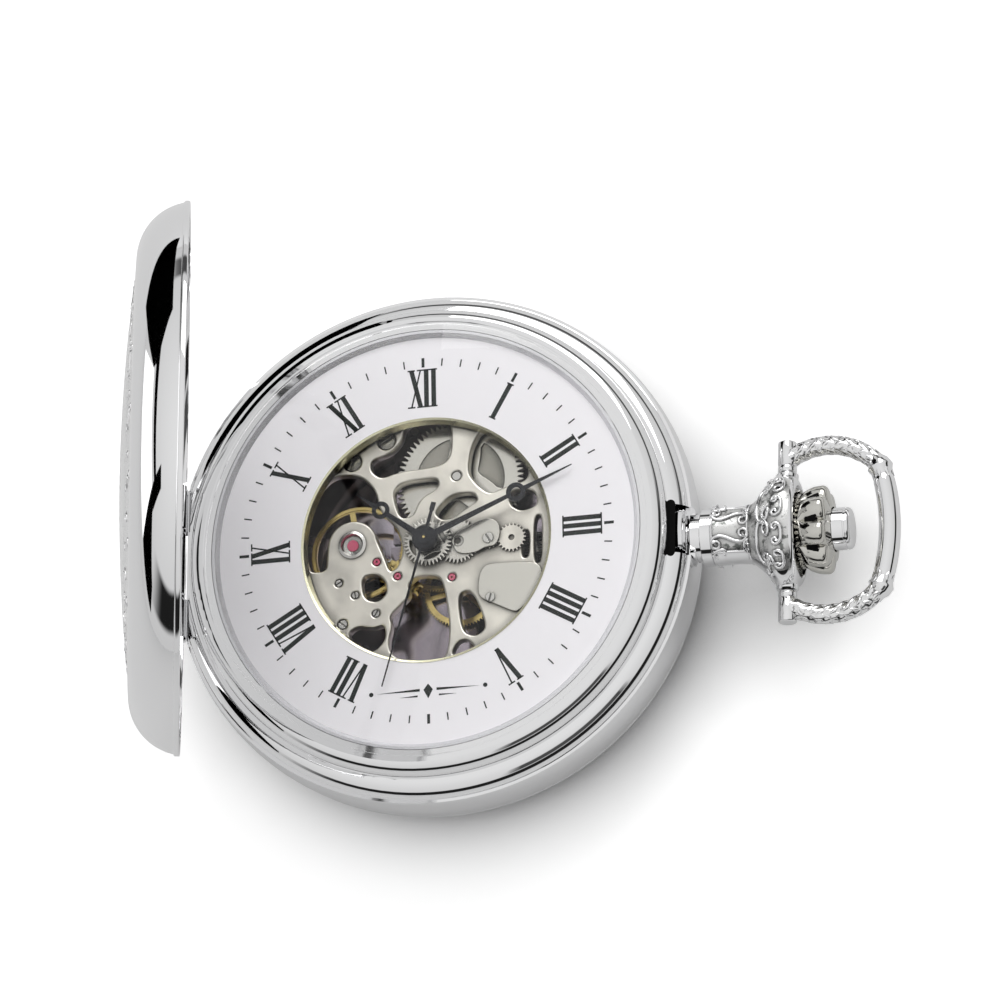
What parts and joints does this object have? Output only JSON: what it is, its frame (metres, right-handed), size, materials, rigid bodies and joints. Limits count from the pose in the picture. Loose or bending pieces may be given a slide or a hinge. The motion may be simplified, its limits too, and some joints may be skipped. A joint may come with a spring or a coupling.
{
  "type": "pocket watch",
  "caption": "Hunter-case pocket watch: hinged domed front cover, glazed skeleton dial with Roman numerals, hand-wound movement, crown with push button, and a swivelling bow.",
  "frame": {"origin": "centre of the flat back face, where the closed back rests on a table", "axes": "+X from the dial's centre to 3 o'clock, the pendant and the crown; +Y to 12 o'clock; +Z out of the dial. The front cover is hinged at 9 o'clock on an axis along Y and stands open."},
  "size_m": [0.067, 0.0476, 0.0554],
  "materials": {
    "polished_case": "mirror polished, engraved on the front cover, pendant and bow",
    "inner_cover": "polished, darker",
    "crystal": "clear domed glass",
    "dial_enamel": "smooth off-white with printed black numerals",
    "rehaut_grey": "satin grey",
    "gilt": "gilt",
    "nickel_plate": "fine grained, nickel plated",
    "steel": "fine brushed",
    "hand_dark": "gloss dark",
    "ruby": "polished synthetic ruby"
  },
  "bodies": {
    "case": {"case_band": "polished_case", "back_cover": "polished_case", "dust_cover": "inner_cover", "bezel": "polished_case", "crystal": "crystal", "rehaut_ring": "rehaut_grey", "dial": "dial_enamel", "dial_window_ring": "gilt", "movement_ring": "nickel_plate", "hinge_pin": "steel", "lift_spring": "steel", "catch_spring": "steel", "pendant": "polished_case", "pendant_sleeve": "steel", "bow_screws": "steel", "main_plate": "nickel_plate", "barrel_bridge": "nickel_plate", "train_bridge": "nickel_plate", "balance_cock": "nickel_plate", "pallet_bridge": "gilt", "minute_work_cover": "nickel_plate", "setting_lever_spring": "nickel_plate", "bridge_screws": "steel", "dial_side_screws": "steel", "train_jewels": "ruby", "balance_setting": "steel", "balance_jewel": "ruby", "click_spring": "steel", "hairspring": "steel"},
    "lid": {"front_cover": "polished_case"},
    "catch": {"lid_catch": "steel"},
    "bow": {"bow": "polished_case"},
    "stem_slide": {"detent_collar": "steel"},
    "crown": {"crown": "polished_case", "winding_stem": "steel", "button_spring": "steel"},
    "button": {"release_button": "polished_case"},
    "winding_pinion": {"winding_pinion": "steel"},
    "clutch": {"clutch_wheel": "steel"},
    "crown_wheel": {"crown_wheel": "steel"},
    "ratchet": {"ratchet_wheel": "nickel_plate", "barrel_arbor": "steel"},
    "click": {"click": "steel"},
    "seconds": {"seconds_hand": "hand_dark", "fourth_wheel": "gilt"},
    "minutes": {"minute_hand": "hand_dark", "centre_wheel": "gilt", "cannon_pinion": "steel"},
    "hours": {"hour_hand": "hand_dark", "hour_wheel": "nickel_plate"},
    "third": {"third_wheel": "gilt"},
    "escape": {"escape_wheel": "gilt"},
    "barrel": {"barrel": "nickel_plate", "mainspring": "steel"},
    "minute_wheel": {"minute_wheel": "nickel_plate"},
    "setting_inner": {"setting_wheel_inner": "nickel_plate"},
    "setting_outer": {"setting_wheel_outer": "nickel_plate"},
    "fork": {"pallet_fork": "steel"},
    "balance": {"balance_wheel": "gilt", "balance_staff": "steel"}
  },
  "joints": [
    {"name": "lid_hinge", "type": "hinge", "parent": "case", "child": "lid", "pos_m": [-0.023, 0, 0.0104], "axis": [0, 1, 0], "range_deg": [0, 74.5], "stiffness_Nm_per_rad": 0.0024, "springref_deg": -74.48},
    {"name": "catch_slide", "type": "slide", "parent": "case", "child": "catch", "axis": [-1, 0, 0], "range_m": [0, 0.0004]},
    {"name": "bow_swivel", "type": "hinge", "parent": "case", "child": "bow", "pos_m": [0.0313, 0, 0.0074], "axis": [0, 1, 0], "range_deg": [-90, 90]},
    {"name": "crown_pull", "type": "slide", "parent": "case", "child": "stem_slide", "axis": [1, 0, 0], "range_m": [0, 0.001]},
    {"name": "crown_turn", "type": "hinge", "parent": "stem_slide", "child": "crown", "pos_m": [0, 0, 0.0074], "axis": [1, 0, 0], "continuous": true},
    {"name": "button_press", "type": "slide", "parent": "crown", "child": "button", "axis": [-1, 0, 0], "range_m": [0, 0.0006], "stiffness_N_per_m": 600, "springref_m": -0.0005},
    {"name": "winding_pinion_turn", "type": "hinge", "parent": "case", "child": "winding_pinion", "pos_m": [0.0094, 0, 0.0074], "axis": [1, 0, 0], "continuous": true},
    {"name": "clutch_turn", "type": "hinge", "parent": "case", "child": "clutch", "pos_m": [0.0082, 0, 0.0074], "axis": [1, 0, 0], "continuous": true},
    {"name": "crown_wheel_turn", "type": "hinge", "parent": "case", "child": "crown_wheel", "pos_m": [0.00652, 0, 0.0055], "axis": [0, 0, 1], "continuous": true},
    {"name": "ratchet_turn", "type": "hinge", "parent": "case", "child": "ratchet", "pos_m": [0.0024, 0.0061, 0.0055], "axis": [0, 0, 1], "continuous": true},
    {"name": "click_pivot", "type": "hinge", "parent": "case", "child": "click", "pos_m": [-0.00326, 0.00816, 0.0055], "axis": [0, 0, 1], "range_deg": [-8, 0]},
    {"name": "seconds_turn", "type": "hinge", "parent": "case", "child": "seconds", "pos_m": [0, 0, 0.007], "axis": [0, 0, -1], "continuous": true},
    {"name": "minutes_turn", "type": "hinge", "parent": "case", "child": "minutes", "pos_m": [0, 0, 0.0075], "axis": [0, 0, -1], "continuous": true},
    {"name": "hours_turn", "type": "hinge", "parent": "case", "child": "hours", "pos_m": [0, 0, 0.0115], "axis": [0, 0, -1], "continuous": true},
    {"name": "third_turn", "type": "hinge", "parent": "case", "child": "third", "pos_m": [0.0021, -0.0032, 0.0075], "axis": [0, 0, -1], "continuous": true},
    {"name": "escape_turn", "type": "hinge", "parent": "case", "child": "escape", "pos_m": [-0.0028, -0.0028, 0.0075], "axis": [0, 0, -1], "continuous": true},
    {"name": "barrel_turn", "type": "hinge", "parent": "case", "child": "barrel", "pos_m": [0.0024, 0.0061, 0.0085], "axis": [0, 0, -1], "continuous": true},
    {"name": "minute_wheel_turn", "type": "hinge", "parent": "case", "child": "minute_wheel", "pos_m": [0.00264, 0, 0.011], "axis": [0, 0, -1], "continuous": true},
    {"name": "setting_inner_turn", "type": "hinge", "parent": "case", "child": "setting_inner", "pos_m": [0.00545, 0, 0.011], "axis": [0, 0, -1], "continuous": true},
    {"name": "setting_outer_turn", "type": "hinge", "parent": "case", "child": "setting_outer", "pos_m": [0.00748, 0, 0.011], "axis": [0, 0, -1], "continuous": true},
    {"name": "fork_rock", "type": "hinge", "parent": "case", "child": "fork", "pos_m": [-0.0047, -0.00137, 0.0093], "axis": [0, 0, 1], "range_deg": [-4, 4]},
    {"name": "balance_swing", "type": "hinge", "parent": "case", "child": "balance", "pos_m": [-0.0069, 0.0003, 0.0084], "axis": [0, 0, 1], "range_deg": [-135, 135]}
  ],
  "couplings": [
    {"joint": "catch_slide", "follows": "button_press", "ratio": 0.6},
    {"joint": "winding_pinion_turn", "follows": "crown_turn", "ratio": 1},
    {"joint": "clutch_turn", "follows": "crown_turn", "ratio": 1},
    {"joint": "crown_wheel_turn", "follows": "crown_turn", "ratio": 0.52632},
    {"joint": "ratchet_turn", "follows": "crown_turn", "ratio": -0.37037},
    {"joint": "minutes_turn", "follows": "seconds_turn", "ratio": 0.016667},
    {"joint": "hours_turn", "follows": "seconds_turn", "ratio": 0.0013889},
    {"joint": "third_turn", "follows": "seconds_turn", "ratio": -0.13333},
    {"joint": "escape_turn", "follows": "seconds_turn", "ratio": -10},
    {"joint": "barrel_turn", "follows": "seconds_turn", "ratio": -0.0027778},
    {"joint": "minute_wheel_turn", "follows": "seconds_turn", "ratio": -0.0055556},
    {"joint": "setting_inner_turn", "follows": "seconds_turn", "ratio": 0.013333},
    {"joint": "setting_outer_turn", "follows": "seconds_turn", "ratio": -0.0090909}
  ]
}
